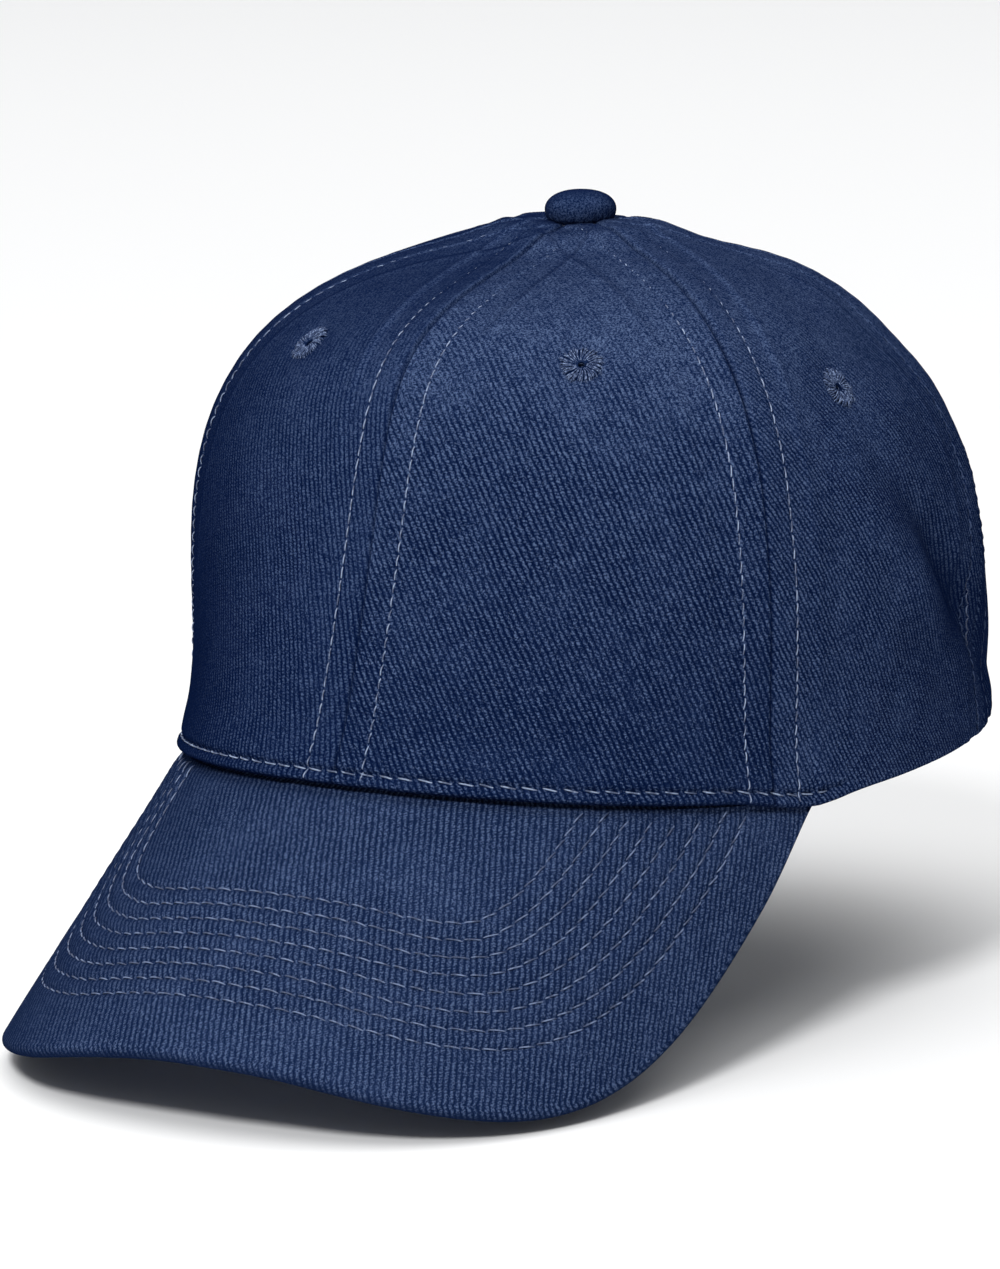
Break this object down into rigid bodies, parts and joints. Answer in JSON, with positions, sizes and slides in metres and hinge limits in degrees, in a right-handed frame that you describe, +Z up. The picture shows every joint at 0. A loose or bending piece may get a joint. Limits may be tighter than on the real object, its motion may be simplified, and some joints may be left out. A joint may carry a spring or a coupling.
{
  "type": "baseball cap",
  "caption": "Structured six-panel baseball cap in twill with a curved stitched visor, covered button, eyelets and a buckled rear strap.",
  "frame": {"origin": "centre of the head opening, in the plane of the rim", "axes": "+Z up through the crown, -Y forward along the visor, +X to the wearer's left"},
  "size_m": [0.1616, 0.268, 0.1695],
  "materials": {
    "navy_twill": "brushed cotton twill",
    "navy_thread": "embroidery thread",
    "seam_tape": "plain woven tape",
    "buckram": "stiffened open mesh",
    "sweatband_cloth": "cotton twill",
    "band_core": "soft non-woven",
    "label": "blank satin",
    "visor_board": "matt",
    "brass": "aged satin",
    "steel": "satin"
  },
  "bodies": {
    "cap": {"front_panel_left": "navy_twill", "front_panel_right": "navy_twill", "side_panel_left": "navy_twill", "side_panel_right": "navy_twill", "back_panel_left": "navy_twill", "back_panel_right": "navy_twill", "front_buckram_left": "buckram", "front_buckram_right": "buckram", "seam_tape_front_centre": "seam_tape", "seam_tape_front_left": "seam_tape", "seam_tape_front_right": "seam_tape", "seam_tape_rear_left": "seam_tape", "seam_tape_rear_right": "seam_tape", "seam_tape_back_centre": "seam_tape", "arch_binding": "seam_tape", "eyelet_front_left": "navy_thread", "eyelet_front_right": "navy_thread", "eyelet_side_left": "navy_thread", "eyelet_side_right": "navy_thread", "eyelet_back_left": "navy_thread", "eyelet_back_right": "navy_thread", "button_cover": "navy_twill", "button_shell": "steel", "button_post": "steel", "button_washer": "steel", "visor_board": "visor_board", "visor_top_fabric": "navy_twill", "visor_bottom_fabric": "navy_twill", "sweatband": "sweatband_cloth", "sweatband_core": "band_core", "care_label": "label", "anchor_loop": "navy_twill", "buckle_frame": "brass", "buckle_pin": "brass"},
    "strap_body": {"strap": "navy_twill"},
    "lever_body": {"buckle_lever": "brass"}
  },
  "joints": [
    {"name": "strap_adjust", "type": "hinge", "parent": "cap", "child": "strap_body", "pos_m": [0, 0.031, 0.012], "axis": [0, 0, -1], "range_deg": [-8, 12]},
    {"name": "buckle_flip", "type": "hinge", "parent": "cap", "child": "lever_body", "pos_m": [0.03014, 0.09869, 0.012], "axis": [0, 0, -1], "range_deg": [0, 100]}
  ]
}
